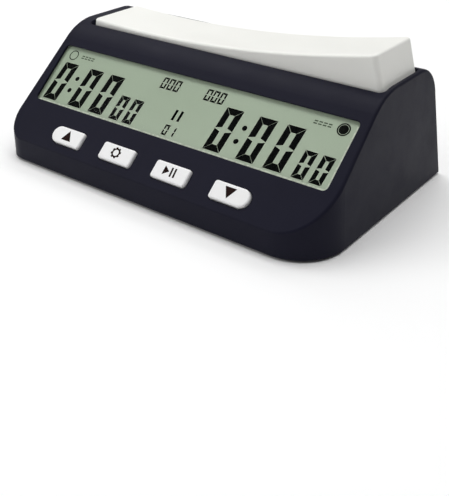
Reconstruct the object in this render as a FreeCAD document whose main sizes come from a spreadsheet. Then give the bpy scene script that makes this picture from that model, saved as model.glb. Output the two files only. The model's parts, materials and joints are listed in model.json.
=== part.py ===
"""Chess clock: a wedge-shaped housing with a tilting bar on top and a display with four keys in front.

Millimetres. +X runs along the length, to the right as the players' arbiter sees the display; -Y is the
front; +Z is up. The origin is the centre of the footprint, on the surface that the rubber feet stand on.
"""
import FreeCAD, Part
import math
import os

import Sketcher
from FreeCAD import Placement, Rotation, Vector

DIMENSIONS = [
    ("foot_proud", 1.0, "how far the rubber feet hold the housing up"),
    ("foot_radius", 6.0, "rubber foot"),
    ("foot_recess", 0.8, "depth of the foot's seat in the bottom cover"),
    ("foot_edge", 0.5, "soft lower edge of a foot"),
    ("foot_inset_long", 66.0, "feet from the middle, along the length"),
    ("foot_front", 25.0, "front feet from the middle, along the depth"),
    ("foot_rear", 30.0, "rear feet from the middle, along the depth"),
    ("housing_length", 168.0, "footprint, along X"),
    ("housing_depth", 102.6, "footprint, along Y"),
    ("housing_top", 51.0, "flat top above the housing's lower edge"),
    ("skirt_height", 9.9, "upright front skirt below the slanted panel"),
    ("panel_angle", 40.3, "slope of the display panel, degrees"),
    ("side_draft", 4.34, "inward lean of the end walls, degrees"),
    ("back_draft", 13.7, "forward lean of the back wall, degrees"),
    ("front_left_corner", 12.0, "radius of the front left corner in plan"),
    ("front_right_corner", 20.0, "radius of the front right corner in plan"),
    ("roll_over", 25.0, "radius between the slanted panel and the top"),
    ("rear_round", 15.0, "radius between the top and the back wall"),
    ("edge_round", 1.2, "soft edge where the panel meets the walls"),
    ("mouth_round", 0.3, "soft edge of the display and key openings"),
    ("well_round", 0.4, "soft rim of the well"),
    ("rim_fall", 2.0, "how far the well's front rim lies below the top"),
    ("wall", 2.0, "housing wall"),
    ("overcut", 3.0, "how far cutting tools run past a surface"),
    ("well_left", 74.1, "left wall of the well that the bar rocks in, from the middle"),
    ("well_right", 78.3, "right wall of the well, from the middle"),
    ("well_corner", 2.5, "upright corners of the well"),
    ("well_front", -1.0, "front wall of the well"),
    ("well_back", 29.0, "back wall of the well"),
    ("well_floor", 37.0, "floor of the well above the housing's lower edge"),
    ("well_rim", 50.2, "top of the well's own walls, inside the housing skin"),
    ("well_slot_long", 8.0, "slot in the well's floor for the bar's finger, along X"),
    ("well_slot_wide", 7.0, "slot in the well's floor, along Y"),
    ("bar_width", 29.0, "tilting bar, along Y"),
    ("bar_foot_left", 73.6, "bar's left end from the pivot, at its lower edge"),
    ("bar_foot_right", 78.0, "bar's right end from the pivot, at its lower edge"),
    ("bar_top_left", 70.2, "bar's left end from the pivot, at its top"),
    ("bar_top_right", 74.6, "bar's right end from the pivot, at its top"),
    ("bar_left_rise", 13.2, "bar's top at its left end above the pivot"),
    ("bar_below", 0.5, "bar's lower edge below the pivot"),
    ("bar_end_rise", 14.06, "bar's top at its right end above the pivot"),
    ("bar_hollow", 550.0, "radius of the bar's dished top"),
    ("bar_wall", 2.0, "side walls of the bar"),
    ("bar_end_wall", 2.2, "end walls of the bar"),
    ("bar_top_wall", 2.4, "top wall of the bar, at its ends"),
    ("bar_corner", 2.2, "upright corner radius of the bar"),
    ("bar_edge", 1.1, "soft top edge of the bar"),
    ("bar_tilt", 3.8, "tilt of the bar either side of level, degrees"),
    ("rib_pitch", 15.0, "cross ribs inside the bar, along X"),
    ("rib_thick", 1.2, "cross ribs inside the bar"),
    ("rib_low", 3.0, "lower edge of the ribs above the pivot"),
    ("pivot_height", 44.0, "pivot above the housing's lower edge"),
    ("shaft_radius", 1.5, "pivot shaft"),
    ("shaft_play", 0.05, "radial play of the bar on its shaft"),
    ("shaft_past", 1.6, "shaft past the well's outer walls"),
    ("clip_radius", 2.2, "retaining ring on the shaft"),
    ("clip_thick", 0.6, "retaining ring on the shaft"),
    ("clip_bore", 1.125, "inner radius of a retaining ring"),
    ("clip_mouth", 2.1, "mouth of a retaining ring"),
    ("groove_radius", 1.095, "bottom of the shaft's grooves for the rings"),
    ("groove_play", 0.04, "play of a ring in its groove, along the shaft"),
    ("ear_radius", 3.5, "bar's bearing ears"),
    ("ear_long", 5.0, "bar's bearing ears, along Y"),
    ("finger_thick", 2.0, "finger that moves the sensing slide, along X"),
    ("finger_wide", 5.0, "finger, along Y"),
    ("finger_drop", 12.5, "finger's tip below the pivot"),
    ("fork_drop", 11.4, "where the finger meets the sensing slide, below the pivot"),
    ("pad_thick", 1.0, "foam stop pads on the well's floor"),
    ("pad_long", 4.0, "foam stop pads, along X"),
    ("pad_wide", 20.0, "foam stop pads, along Y"),
    ("window_half", 76.8, "half length of the display opening"),
    ("window_low", 20.84, "lower edge of the display opening, up the panel"),
    ("window_high", 50.2, "upper edge of the display opening, up the panel"),
    ("window_corner", 2.0, "corner radius of the display opening"),
    ("lip", 0.6, "panel left over the edge of the clear window"),
    ("lens_margin", 1.6, "clear window past the opening"),
    ("lens_thick", 0.8, "clear window"),
    ("lens_corner", 1.5, "corner radius of the clear window"),
    ("glass_half", 77.3, "half length of the display glass"),
    ("glass_low", 19.5, "lower edge of the display glass, up the panel"),
    ("glass_high", 51.5, "upper edge of the display glass, up the panel"),
    ("glass_depth", 1.5, "display glass below the panel"),
    ("glass_thick", 0.9, "each of the two display glasses"),
    ("reflector_thick", 0.3, "reflector behind the display"),
    ("zebra_wide", 1.8, "conductive rubber strip, up the panel"),
    ("zebra_half", 60.0, "half length of the conductive strips"),
    ("frame_gap", 0.2, "play between the display and its frame"),
    ("frame_wall", 0.9, "wall of the display frame"),
    ("frame_clear", 0.1, "gap between the display frame and the panel's inside"),
    ("frame_ledge", 2.0, "ledge of the display frame that the reflector lies on"),
    ("frame_floor", 1.8, "thickness of that ledge"),
    ("board_depth", 8.0, "main board below the panel"),
    ("board_thick", 1.6, "circuit boards"),
    ("board_half", 64.0, "half length of the main board"),
    ("board_low", 2.6, "lower edge of the main board, up the panel"),
    ("board_high", 53.0, "upper edge of the main board, up the panel"),
    ("chip_radius", 8.0, "epoxy drop over the controller"),
    ("chip_thick", 1.6, "epoxy drop over the controller"),
    ("chip_edge", 1.2, "round edge of the epoxy drop"),
    ("chip_along", 6.0, "controller from the middle"),
    ("chip_up", 34.0, "controller, up the panel"),
    ("crystal_long", 8.0, "quartz crystal's can"),
    ("crystal_side", 3.0, "quartz crystal's can, square"),
    ("crystal_along", 24.0, "quartz crystal from the middle"),
    ("crystal_up", 32.0, "quartz crystal, up the panel"),
    ("can_radius", 2.5, "smoothing capacitors"),
    ("can_long", 6.0, "smoothing capacitors"),
    ("can_near", 22.0, "near capacitor left of the middle"),
    ("can_pitch", 8.0, "pitch of the two capacitors"),
    ("can_up", 40.0, "capacitors, up the panel"),
    ("buzzer_radius", 6.0, "buzzer"),
    ("buzzer_thick", 5.0, "buzzer"),
    ("buzzer_along", 48.0, "buzzer left of the middle"),
    ("buzzer_up", 36.0, "buzzer, up the panel"),
    ("buzzer_hole", 1.0, "buzzer's sound hole, radius and depth"),
    ("post_up", 15.9, "board posts, up the panel"),
    ("post_radius", 2.3, "board posts"),
    ("post_inner", 29.3, "inner board posts from the middle of the row of keys"),
    ("post_outer", 58.0, "outer board posts from the middle of the row of keys"),
    ("sensor_drop", 17.5, "sensor board's top below the pivot"),
    ("sensor_along", 11.0, "sensor board's screws from the middle"),
    ("sensor_long", 30.0, "sensor board, along X"),
    ("sensor_wide", 18.0, "sensor board, along Y"),
    ("case_long", 13.0, "sensing switch's case"),
    ("case_wide", 6.0, "sensing switch's case"),
    ("case_high", 4.0, "sensing switch's case"),
    ("case_room_long", 9.0, "room for the slide in the sensing switch"),
    ("case_room_wide", 3.0, "room for the slide in the sensing switch"),
    ("case_floor", 2.4, "floor of that room above the sensor board"),
    ("slide_foot_long", 5.0, "slide's foot in the sensing switch"),
    ("slide_foot_wide", 2.4, "slide's foot in the sensing switch"),
    ("slide_foot_high", 3.0, "slide's foot in the sensing switch"),
    ("slide_foot_rise", 2.6, "slide's foot above the sensor board"),
    ("slide_long", 6.0, "slide's fork, along X"),
    ("slide_wide", 5.0, "slide's fork, along Y"),
    ("slide_high", 3.6, "slide's fork"),
    ("slide_rise", 4.3, "slide's fork above the sensor board"),
    ("fork_play", 0.4, "play of the finger in the fork, either side"),
    ("fork_floor", 4.8, "floor of the fork above the sensor board"),
    ("sensor_thread", 5.0, "sensor board's screws below their board"),
    ("board_thread", 3.2, "main board's screws beyond their board"),
    ("small_thread", 6.0, "depth of the sensor board's screw holes"),
    ("small_screw", 0.95, "shank radius of the board screws"),
    ("small_head", 1.9, "head radius of the board screws"),
    ("small_head_high", 1.4, "head of the board screws"),
    ("small_cross", 2.2, "cross recess of the board screws, its length"),
    ("small_cross_wide", 0.5, "cross recess of the board screws, its width"),
    ("screw_play", 0.05, "radial play of a screw in its boss"),
    ("key_long", 17.4, "keycap, along X"),
    ("key_wide", 7.8, "keycap, up the panel"),
    ("key_up", 8.0, "middle of the keys, up the panel"),
    ("key_shift", 1.9, "middle of the row of keys, left of the housing's middle"),
    ("key_inner", 14.6, "inner keys from the middle of the row"),
    ("key_outer", 44.0, "outer keys from the middle of the row"),
    ("key_proud", 1.2, "keycap above the panel"),
    ("key_gap", 0.3, "gap round a keycap"),
    ("key_end", 3.8, "round outer end of the outer keys"),
    ("key_corner", 1.2, "other corners of the keys"),
    ("key_edge", 0.8, "soft top edge of a keycap"),
    ("flange_margin", 0.9, "keycap's flange past the cap"),
    ("flange_thick", 1.0, "keycap's flange"),
    ("key_stem", 2.0, "radius of the keycap's stem"),
    ("switch_top", 4.8, "key switch's top below the panel"),
    ("switch_side", 6.0, "key switch, square"),
    ("plunger_radius", 1.6, "key switch's plunger"),
    ("plunger_top", 3.9, "plunger's top below the panel"),
    ("plunger_long", 1.7, "plunger"),
    ("switch_floor", 0.8, "floor of a key switch above the board"),
    ("cover_thick", 2.4, "bottom cover"),
    ("cover_gap", 0.3, "gap round the bottom cover"),
    ("boss_radius", 4.0, "housing screw bosses"),
    ("boss_floor", 5.0, "where the cover's and the housing's bosses meet"),
    ("boss_along", 70.0, "screw bosses from the middle, along X"),
    ("boss_front", -42.0, "front screw bosses"),
    ("boss_rear", 43.5, "rear screw bosses"),
    ("boss_rear_top", 26.0, "top of the rear bosses"),
    ("screw_radius", 1.45, "housing screw's shank"),
    ("screw_head", 2.8, "housing screw's head"),
    ("screw_head_high", 2.0, "housing screw's head"),
    ("screw_cross", 3.4, "cross recess of a housing screw, its length"),
    ("screw_cross_wide", 0.7, "cross recess of a housing screw, its width"),
    ("screw_seat", 2.6, "underside of the boss that the screw head pulls on"),
    ("screw_long", 9.0, "housing screw's shank"),
    ("cell_radius", 7.1, "AA cell"),
    ("cell_long", 50.5, "AA cell with its nub"),
    ("nub_radius", 2.7, "AA cell's nub"),
    ("nub_long", 1.0, "AA cell's nub"),
    ("cell_rim", 0.6, "bevelled rims of an AA cell"),
    ("cell_front", 7.5, "front cell's axis"),
    ("cell_rear", 23.5, "rear cell's axis"),
    ("cell_height", 10.3, "cells' axes above the housing's lower edge"),
    ("bay_half", 29.5, "half length of the battery bay"),
    ("bay_front", -0.5, "battery bay"),
    ("bay_back", 31.5, "battery bay"),
    ("bay_top", 19.0, "ceiling of the battery bay"),
    ("bay_wall", 1.5, "walls of the battery bay"),
    ("contact_thick", 0.5, "battery contacts"),
    ("contact_wide", 10.0, "battery contacts, along Y"),
    ("contact_gap", 2.0, "battery contacts from the bay's floor and ceiling"),
    ("spring_radius", 4.2, "middle of the battery spring's wire"),
    ("spring_wire", 0.4, "wire radius of the battery springs"),
    ("spring_turns", 4.0, "turns in a battery spring"),
    ("door_thick", 2.0, "battery door"),
    ("tab_along", 15.0, "door's tabs from the middle"),
    ("tab_wide", 8.0, "door's tabs"),
    ("tab_high", 4.2, "top of the door's tabs"),
    ("tab_notch", 3.2, "height of the notches that the tabs enter"),
    ("hook_long", 4.0, "hooks of the door's tabs, along Y"),
    ("hook_thick", 1.3, "hooks of the door's tabs"),
    ("hook_rise", 2.9, "underside of the hooks"),
    ("latch_thick", 1.2, "door's latch"),
    ("latch_high", 4.6, "top of the door's latch"),
    ("latch_back", 1.6, "door's latch behind the bay's front"),
    ("nose_long", 1.4, "nose of the door's latch, along Y"),
    ("nose_back", 0.4, "nose of the door's latch behind the bay's front"),
    ("nose_thick", 1.2, "nose of the door's latch"),
    ("nose_rise", 3.4, "underside of the latch's nose"),
    ("grip_wide", 0.8, "grooves of the door's grip"),
    ("grip_deep", 0.4, "grooves of the door's grip"),
    ("grip_pitch", 2.0, "grooves of the door's grip"),
    ("grip_back", 6.0, "first groove behind the bay's front"),
    ("scoop_radius", 7.0, "finger scoop in front of the door"),
    ("scoop_back", 3.0, "middle of the finger scoop behind the bay's front"),
    ("scoop_deep", 1.0, "finger scoop"),
    ("knob_along", 48.0, "power switch from the middle"),
    ("knob_back", 12.0, "power switch"),
    ("knob_long", 4.0, "power switch's knob, along its travel"),
    ("knob_wide", 3.0, "power switch's knob"),
    ("knob_travel", 3.0, "power switch's travel"),
    ("knob_high", 4.2, "power switch's knob"),
    ("knob_proud", 0.2, "knob below the housing's lower edge"),
    ("knob_groove", 0.5, "grooves in the knob"),
    ("knob_groove_deep", 0.4, "grooves in the knob"),
    ("knob_groove_pitch", 1.0, "grooves in the knob"),
    ("power_long", 13.0, "power switch's case"),
    ("power_wide", 7.0, "power switch's case"),
    ("power_high", 5.0, "power switch's case"),
    ("power_room_long", 8.0, "room for the knob in the power switch"),
    ("power_room_wide", 4.0, "room for the knob in the power switch"),
    ("power_room_high", 2.0, "room for the knob in the power switch"),
]

document = FreeCAD.newDocument("chess_clock")
sheet = document.addObject("Spreadsheet::Sheet", "Dimensions")


class Size:
    """A length worked out from the sheet: its value, and the expression that keeps it so."""

    def __init__(self, value, text):
        self.value = value
        self.text = text

    def __add__(self, other):
        return Size(self.value + amount(other), f"({self.text} + {words(other)})")

    def __radd__(self, other):
        return Size(amount(other) + self.value, f"({words(other)} + {self.text})")

    def __sub__(self, other):
        return Size(self.value - amount(other), f"({self.text} - {words(other)})")

    def __rsub__(self, other):
        return Size(amount(other) - self.value, f"({words(other)} - {self.text})")

    def __mul__(self, other):
        return Size(self.value * amount(other), f"({self.text} * {words(other)})")

    def __rmul__(self, other):
        return Size(amount(other) * self.value, f"({words(other)} * {self.text})")

    def __truediv__(self, other):
        return Size(self.value / amount(other), f"({self.text} / {words(other)})")

    def __rtruediv__(self, other):
        return Size(amount(other) / self.value, f"({words(other)} / {self.text})")

    def __neg__(self):
        return Size(-self.value, f"(-1 * {self.text})")


def amount(size):
    return size.value if isinstance(size, Size) else float(size)


def words(size):
    return size.text if isinstance(size, Size) else repr(float(size))


def fill_sheet():
    """Write every driving dimension into the sheet and return them as Sizes by name."""
    sizes = {}
    for row, (alias, value, meaning) in enumerate(DIMENSIONS, start=1):
        sheet.set(f"A{row}", alias)
        sheet.set(f"B{row}", str(value))
        sheet.setAlias(f"B{row}", alias)
        sheet.set(f"C{row}", meaning)
    document.recompute()
    for alias, _value, _meaning in DIMENSIONS:
        sizes[alias] = Size(float(sheet.get(alias)), f"{sheet.Name}.{alias}")
    return sizes


class Names:
    """The sheet's dimensions as attributes."""

    def __init__(self, sizes):
        self.__dict__.update(sizes)


d = Names(fill_sheet())


def sine(angle):
    return Size(math.sin(math.radians(amount(angle))), f"sin({words(angle)} * 1 deg)")


def cosine(angle):
    return Size(math.cos(math.radians(amount(angle))), f"cos({words(angle)} * 1 deg)")


def tangent(angle):
    return Size(math.tan(math.radians(amount(angle))), f"tan({words(angle)} * 1 deg)")


# ---------------------------------------------------------------- document helpers

def bind(item, name, size):
    """Give a property its value, and tie it to the sheet where the size comes from there."""
    setattr(item, name, amount(size))
    if isinstance(size, Size):
        item.setExpression(name, size.text)


def place(item, x, y, z, turn=None):
    """Put an object at a point, with an optional Rotation."""
    item.Placement = Placement(Vector(amount(x), amount(y), amount(z)), turn or Rotation())
    for letter, size in zip("xyz", (x, y, z)):
        if isinstance(size, Size):
            item.setExpression(f"Placement.Base.{letter}", size.text)
    return item


PANEL_TURN = Rotation(Vector(1, 0, 0), d.panel_angle.value)
ALONG_Y = Rotation(Vector(1, 0, 0), -90)
EDGE = d.foot_proud
FRONT = -(d.housing_depth / 2)
BACK = d.housing_depth / 2
KEYS = [("up_key", -d.key_outer - d.key_shift), ("settings_key", -d.key_inner - d.key_shift),
        ("play_pause_key", d.key_inner - d.key_shift), ("down_key", d.key_outer - d.key_shift)]
SIDES = [("left", -1), ("right", 1)]
NEAR = 1e-3
PARALLEL = 0.9
RIB_STEPS = (-4, -3, -2, -1, 1, 2, 3, 4)
GRIP_GROOVES = 5
KNOB_GROOVES = 3
HEAD_FLAT = 0.7
HEAD_RIM = 0.5
SCREW_TIP = 0.4
RECESS_DEPTH = 0.6
FRONT_CORNERS = [("left", d.front_left_corner), ("right", d.front_right_corner)]
UPRIGHT = Vector(0, 0, 1)
LENGTHWISE = Vector(1, 0, 0)
MIDDLE = (d.well_front + d.well_back) / 2
SENSOR_TOP = d.pivot_height - d.sensor_drop
BOARD_SCREWS = [-d.post_outer - d.key_shift, -d.post_inner - d.key_shift,
                d.post_inner - d.key_shift, d.post_outer - d.key_shift]


def place_on_panel(item, x, up, proud):
    """Put an object on the slanted panel: local X along X, Y up the panel, Z out of it."""
    y = FRONT + up * cosine(d.panel_angle) - proud * sine(d.panel_angle)
    z = EDGE + d.skirt_height + up * sine(d.panel_angle) + proud * cosine(d.panel_angle)
    return place(item, x, y, z, PANEL_TURN)


def box(name, long, wide, high):
    item = document.addObject("Part::Box", name)
    bind(item, "Length", long)
    bind(item, "Width", wide)
    bind(item, "Height", high)
    return item


def cylinder(name, radius, high):
    item = document.addObject("Part::Cylinder", name)
    bind(item, "Radius", radius)
    bind(item, "Height", high)
    return item


def fuse(name, parts):
    item = document.addObject("Part::MultiFuse", name)
    item.Shapes = parts
    item.Refine = True
    return item


def cut(name, base, tools):
    item = document.addObject("Part::Cut", name)
    item.Base = base
    item.Tool = tools[0] if len(tools) == 1 else fuse(name + "_tools", tools)
    item.Refine = True
    return item


def common(name, first, second):
    item = document.addObject("Part::Common", name)
    item.Base = first
    item.Tool = second
    return item


def group(name, parts):
    """Separate solids that share one node."""
    item = document.addObject("Part::Compound", name)
    item.Links = parts
    return item


def new_body(name):
    return document.addObject("PartDesign::Body", name)


def sketch_on(body, name, plane, rise=0):
    """A sketch on one of the body's own origin planes, lifted along the plane's normal."""
    item = body.newObject("Sketcher::SketchObject", name)
    origin_plane = [part for part in body.Origin.OriginFeatures if part.Role == plane][0]
    item.AttachmentSupport = [(origin_plane, "")]
    item.MapMode = "FlatFace"
    item.AttachmentOffset = Placement(Vector(0, 0, amount(rise)), Rotation())
    if isinstance(rise, Size):
        item.setExpression("AttachmentOffset.Base.z", rise.text)
    return item


def hold(sketch, name, geometry, point, along, size):
    """Fix one coordinate of a sketch point from the sketch's origin."""
    index = sketch.addConstraint(
        Sketcher.Constraint("Distance" + along, -1, 1, geometry, point, amount(size)))
    if isinstance(size, Size):
        sketch.renameConstraint(index, name)
        sketch.setExpression("Constraints." + name, size.text)


def outline(sketch, corners):
    """Close a loop through corners (u, v); a third item (radius, sagging) makes that side an arc."""
    count = len(corners)
    for index, corner in enumerate(corners):
        following = corners[(index + 1) % count]
        start = Vector(amount(corner[0]), amount(corner[1]), 0)
        end = Vector(amount(following[0]), amount(following[1]), 0)
        if len(corner) == 2:
            sketch.addGeometry(Part.LineSegment(start, end))
            continue
        radius = amount(corner[2])
        chord = end - start
        middle = (start + end) * 0.5
        reach = math.sqrt(radius ** 2 - (chord.Length / 2) ** 2)
        side = Vector(chord.y, -chord.x, 0).normalize()
        centre = middle + side * reach
        lowest = centre - side * radius
        sketch.addGeometry(Part.Arc(start, lowest, end))
    for index in range(count):
        after = (index + 1) % count
        ends = [corner_end(sketch, index, amount(corners[after][0]), amount(corners[after][1])),
                corner_end(sketch, after, amount(corners[after][0]), amount(corners[after][1]))]
        sketch.addConstraint(Sketcher.Constraint("Coincident", index, ends[0], after, ends[1]))
    for index, corner in enumerate(corners):
        point = corner_end(sketch, index, amount(corner[0]), amount(corner[1]))
        hold(sketch, f"across_{index}", index, point, "X", corner[0])
        hold(sketch, f"along_{index}", index, point, "Y", corner[1])
        if len(corner) == 3:
            number = sketch.addConstraint(Sketcher.Constraint("Radius", index, amount(corner[2])))
            sketch.renameConstraint(number, f"radius_{index}")
            sketch.setExpression(f"Constraints.radius_{index}", words(corner[2]))


def corner_end(sketch, geometry, u, v):
    """Which end of a sketch line or arc lies on the corner (u, v): 1 is its start, 2 its end."""
    return 1 if sketch.getPoint(geometry, 1).distanceToPoint(Vector(u, v, 0)) < NEAR else 2


def rectangle(sketch, u, v, long, wide):
    outline(sketch, [(u, v), (u + long, v), (u + long, v + wide), (u, v + wide)])


def pad(body, name, sketch, length, both_ways=False):
    item = body.newObject("PartDesign::Pad", name)
    item.Profile = sketch
    bind(item, "Length", length)
    item.Midplane = both_ways
    document.recompute()
    return item


def pocket(body, name, sketch, length, both_ways=False, turned=False):
    item = body.newObject("PartDesign::Pocket", name)
    item.Profile = sketch
    bind(item, "Length", length)
    item.Midplane = both_ways
    item.Reversed = turned
    before = body.Shape.Volume
    document.recompute()
    if not body.Shape.Volume < before:
        raise RuntimeError(f"{name} removes nothing")
    return item


def round_edges(body, name, radius, chosen):
    """Fillet the edges of the body's tip that the test picks."""
    item = body.newObject("PartDesign::Fillet", name)
    base = item.BaseFeature
    names = [f"Edge{number}" for number, edge in enumerate(base.Shape.Edges, start=1) if chosen(edge)]
    item.Base = (base, names)
    bind(item, "Radius", radius)
    document.recompute()
    return item


def middle_of(edge):
    return edge.valueAt((edge.FirstParameter + edge.LastParameter) / 2)


def runs_along(edge, axis):
    """True for an edge that runs within a few degrees of an axis."""
    ends = edge.valueAt(edge.LastParameter) - edge.valueAt(edge.FirstParameter)
    return ends.Length > NEAR and abs(ends.normalize().dot(axis)) > PARALLEL


def is_front_corner(edge, sign):
    """True for an upright edge at the front, on the given side."""
    middle = middle_of(edge)
    return runs_along(edge, UPRIGHT) and middle.x * sign > 0 and middle.y < 0


def plate(name, long, wide, thick, radius, x=0, y=0):
    """A rounded rectangular plate about a point, from Z = 0 up."""
    body = new_body(name)
    outer = sketch_on(body, name + "_outline", "XY_Plane")
    rectangle(outer, x - long / 2, y - wide / 2, long, wide)
    pad(body, name + "_pad", outer, thick)
    round_edges(body, name + "_corners", radius, lambda edge: runs_along(edge, UPRIGHT))
    return body


# ---------------------------------------------------------------- housing

def envelope(name, inset, sink):
    """The housing's outer form, moved inwards by inset and starting sink below the lower edge."""
    reach = d.housing_top + 2 * d.overcut
    slope = tangent(d.panel_angle)
    lean = tangent(d.back_draft)
    half = d.housing_length / 2 - inset
    top_half = half - reach * tangent(d.side_draft)
    foot_half = half + sink * tangent(d.side_draft)
    body = new_body(name)
    ends = sketch_on(body, name + "_ends", "XZ_Plane")
    outline(ends, [(-foot_half, EDGE - sink), (foot_half, EDGE - sink),
                   (top_half, EDGE + reach), (-top_half, EDGE + reach)])
    pad(body, name + "_block", ends, d.housing_depth - 2 * inset, both_ways=True)
    for side, radius in FRONT_CORNERS:
        sign = dict(SIDES)[side]
        round_edges(body, f"{name}_{side}_corner", radius - inset,
                    lambda edge: is_front_corner(edge, sign))
    top = d.housing_top - inset
    front = FRONT + inset
    crease = d.skirt_height + inset * slope - inset / cosine(d.panel_angle)
    ridge = front + (top - crease) / slope
    back = BACK - inset / cosine(d.back_draft)
    side = sketch_on(body, name + "_side", "YZ_Plane")
    past = d.overcut
    outline(side, [(front - past, EDGE + crease - past * slope), (ridge, EDGE + top),
                   (back - top * lean, EDGE + top), (back + (sink + past) * lean, EDGE - sink - past),
                   (BACK + 4 * past, EDGE - sink - past), (BACK + 4 * past, EDGE + reach + past),
                   (front - past, EDGE + reach + past)])
    pocket(body, name + "_profile", side, 2 * d.housing_length, both_ways=True)
    level = amount(EDGE + top)
    round_edges(body, name + "_roll_over", d.roll_over - inset,
                lambda edge: runs_along(edge, LENGTHWISE) and abs(middle_of(edge).z - level) < NEAR
                and middle_of(edge).y < MIDDLE.value)
    round_edges(body, name + "_rear_round", d.rear_round - inset,
                lambda edge: runs_along(edge, LENGTHWISE) and abs(middle_of(edge).z - level) < NEAR
                and middle_of(edge).y > MIDDLE.value)
    return body


def panel_hole(name, x, up, long, wide, radius, deep):
    """A rounded tool that cuts through the slanted panel, deep mm down from its surface."""
    tool = plate(name, long, wide, deep + d.overcut, radius)
    return place_on_panel(tool, x, up, -deep)


def screw_bosses(name, radius, low, high, play=0):
    """Cylinders on the four housing screws' axes."""
    parts = []
    for side, sign in SIDES:
        for row, back in (("front", d.boss_front), ("rear", d.boss_rear)):
            part = cylinder(f"{name}_{row}_{side}", radius + play, high - low)
            parts.append(place(part, sign * d.boss_along, back, EDGE + low))
    return parts


def key_block(body, name, x, grow, deep, proud):
    """A key's outline, grown all round, from deep below the panel to proud above it."""
    outline_sketch = sketch_on(body, name + "_outline", "XY_Plane", -deep)
    long = d.key_long + 2 * grow
    wide = d.key_wide + 2 * grow
    rectangle(outline_sketch, -(long / 2), -(wide / 2), long, wide)
    pad(body, name + "_block", outline_sketch, deep + proud)
    sign = 1 if x.value > 0 else -1
    if x.value in (KEYS[0][1].value, KEYS[-1][1].value):
        round_edges(body, name + "_end", d.key_end + grow,
                    lambda edge: runs_along(edge, UPRIGHT) and middle_of(edge).x * sign > 0)
    round_edges(body, name + "_corners", d.key_corner + grow,
                lambda edge: runs_along(edge, UPRIGHT)
                and abs(abs(middle_of(edge).x) - long.value / 2) < NEAR
                and abs(abs(middle_of(edge).y) - wide.value / 2) < NEAR)
    return body


def upper_housing():
    outer = envelope("skin", 0, 0)
    inner = envelope("cavity", d.wall, d.overcut)
    shell = cut("shell", outer, [inner])
    past = 2 * d.mouth_round
    well_long = d.well_left + d.well_right
    walls = box("well_walls", well_long + 2 * past, d.well_back - d.well_front + 2 * d.wall,
                d.well_rim - d.well_floor + d.wall)
    place(walls, -d.well_left - past, d.well_front - d.wall, EDGE + d.well_floor - d.wall)
    inside = [shell, walls]
    inside += screw_bosses("housing_boss", d.boss_radius, d.boss_floor, d.boss_rear_top)
    for index, along in enumerate(BOARD_SCREWS):
        post = cylinder(f"board_post_{index}", d.post_radius, d.board_depth - d.wall / 2)
        inside.append(place_on_panel(post, along, d.post_up, -d.board_depth))
    for side, sign in SIDES:
        post = cylinder(f"sensor_post_{side}", d.post_radius, d.well_floor - d.wall / 2 - SENSOR_TOP)
        inside.append(place(post, sign * d.sensor_along, MIDDLE, EDGE + SENSOR_TOP))
    body = common("housing_solid", fuse("housing_inside", inside), outer)
    well = plate("well", well_long, d.well_back - d.well_front, d.housing_top, d.well_corner)
    place(well, (d.well_right - d.well_left) / 2, MIDDLE, EDGE + d.well_floor)
    slot = box("well_slot", d.well_slot_long, d.well_slot_wide, 4 * d.wall)
    place(slot, -(d.well_slot_long / 2), MIDDLE - d.well_slot_wide / 2,
          EDGE + d.well_floor - 2 * d.wall)
    shaft = cylinder("shaft_hole", d.shaft_radius, d.well_back - d.well_front + 2 * (d.wall + d.overcut))
    place(shaft, 0, d.well_front - d.wall - d.overcut, EDGE + d.pivot_height, ALONG_Y)
    window_wide = d.window_high - d.window_low
    window_up = (d.window_high + d.window_low) / 2
    window = panel_hole("window_opening", 0, window_up, 2 * d.window_half, window_wide,
                        d.window_corner, 2 * d.wall)
    seat = plate("window_seat", 2 * (d.window_half + d.lens_margin) + 2 * d.frame_gap,
                 window_wide + 2 * (d.lens_margin + d.frame_gap), 2 * d.wall, d.window_corner)
    place_on_panel(seat, 0, window_up, -d.lip - 2 * d.wall)
    tools = [well, slot, shaft, window, seat]
    for key, x in KEYS:
        hole = key_block(new_body(key + "_opening"), key + "_opening", x, d.key_gap,
                         2 * d.wall, d.overcut)
        tools.append(place_on_panel(hole, x, d.key_up, 0))
    tools += screw_bosses("screw_hole", d.screw_radius, 0, d.boss_floor + d.screw_long, d.screw_play)
    bore = d.small_screw + d.screw_play
    for index, along in enumerate(BOARD_SCREWS):
        hole = cylinder(f"board_hole_{index}", bore, d.board_depth - d.wall * 1.5 + d.overcut)
        tools.append(place_on_panel(hole, along, d.post_up, -d.board_depth - d.overcut))
    for side, sign in SIDES:
        hole = cylinder(f"sensor_hole_{side}", bore, d.small_thread + d.overcut)
        tools.append(place(hole, sign * d.sensor_along, MIDDLE, EDGE + SENSOR_TOP - d.overcut))
    return cut("upper_housing_sharp", body, tools)


def soften(name, base, rounds):
    """Part::Fillet on edges given as (radius, test) pairs."""
    document.recompute()
    item = document.addObject("Part::Fillet", name)
    item.Base = base
    chosen = []
    for radius, wanted in rounds:
        for number, edge in enumerate(base.Shape.Edges, start=1):
            if wanted(edge):
                chosen.append((number, amount(radius), amount(radius)))
    item.Edges = chosen
    document.recompute()
    return item


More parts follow.
